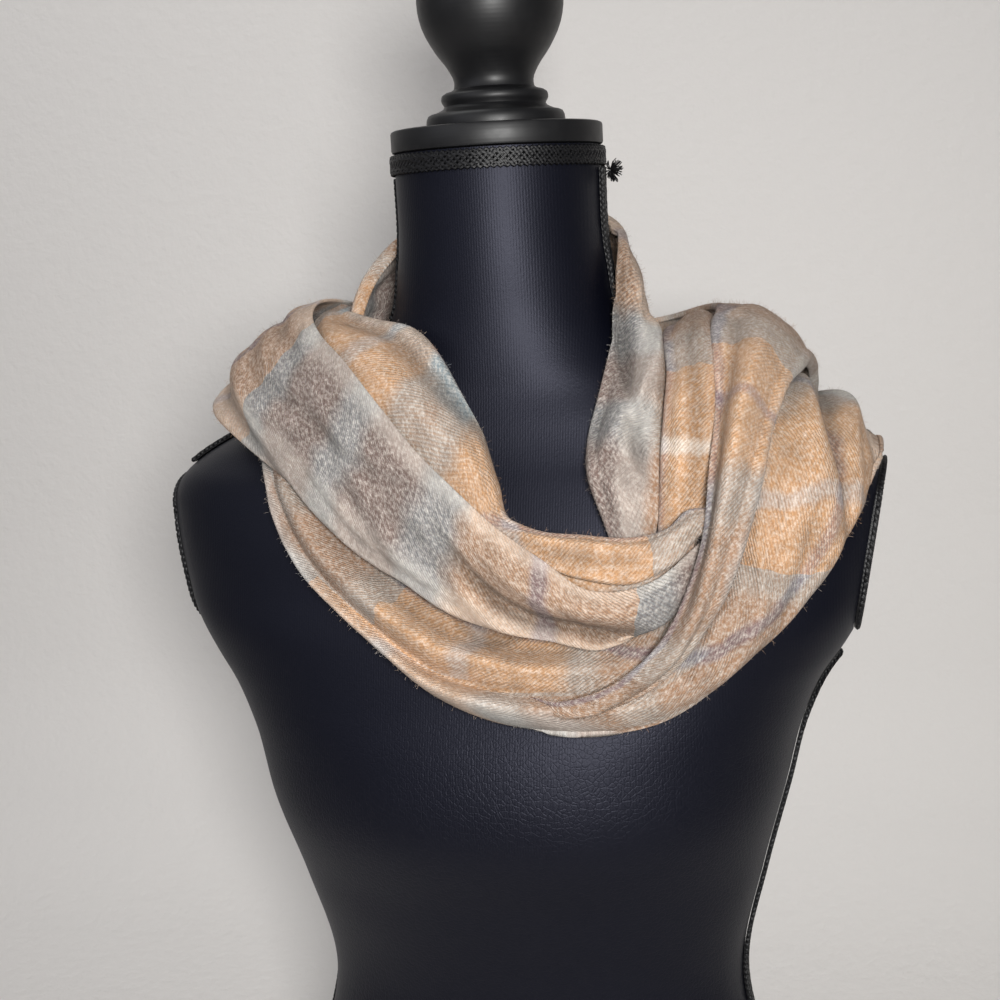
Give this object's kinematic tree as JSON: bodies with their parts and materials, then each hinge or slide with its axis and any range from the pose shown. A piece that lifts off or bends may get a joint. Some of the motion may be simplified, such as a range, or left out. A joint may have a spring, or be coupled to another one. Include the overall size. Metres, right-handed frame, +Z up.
{
  "type": "plaid scarf on limbless dress form",
  "caption": "Soft brushed plaid scarf wound round the neck of a black jersey dress form with a turned wooden finial, braid-edged neck, armholes and side seams.",
  "frame": {"origin": "centre of the form's flat bottom, where it stands", "axes": "+Z up through the neck, front of the form faces -Y, +X to the right as seen from the front"},
  "size_m": [0.409, 0.2719, 0.79],
  "materials": {
    "jersey": "black knitted jersey stretched over a smooth padded form",
    "lacquer": "black satin lacquer on turned wood",
    "braid": "black corded gimp braid",
    "plaid": "brushed twill woven in a tan, taupe, grey-blue and cream plaid"
  },
  "bodies": {
    "root": {"form_torso": "jersey", "neck_cap": "lacquer", "finial": "lacquer", "neck_braid": "braid", "neck_braid_left": "braid", "neck_braid_right": "braid", "arm_braid_left": "braid", "arm_braid_right": "braid", "side_braid_left": "braid", "side_braid_right": "braid", "braid_tuft": "braid", "left_band_lower": "plaid", "left_band_upper": "plaid", "front_roll": "plaid", "second_roll": "plaid", "neck_turn": "plaid", "inner_right_fold": "plaid", "pleat_one": "plaid", "pleat_two": "plaid", "outer_right_folds": "plaid", "under_loop": "plaid", "back_swag_upper": "plaid", "back_swag_lower": "plaid"}
  },
  "joints": []
}
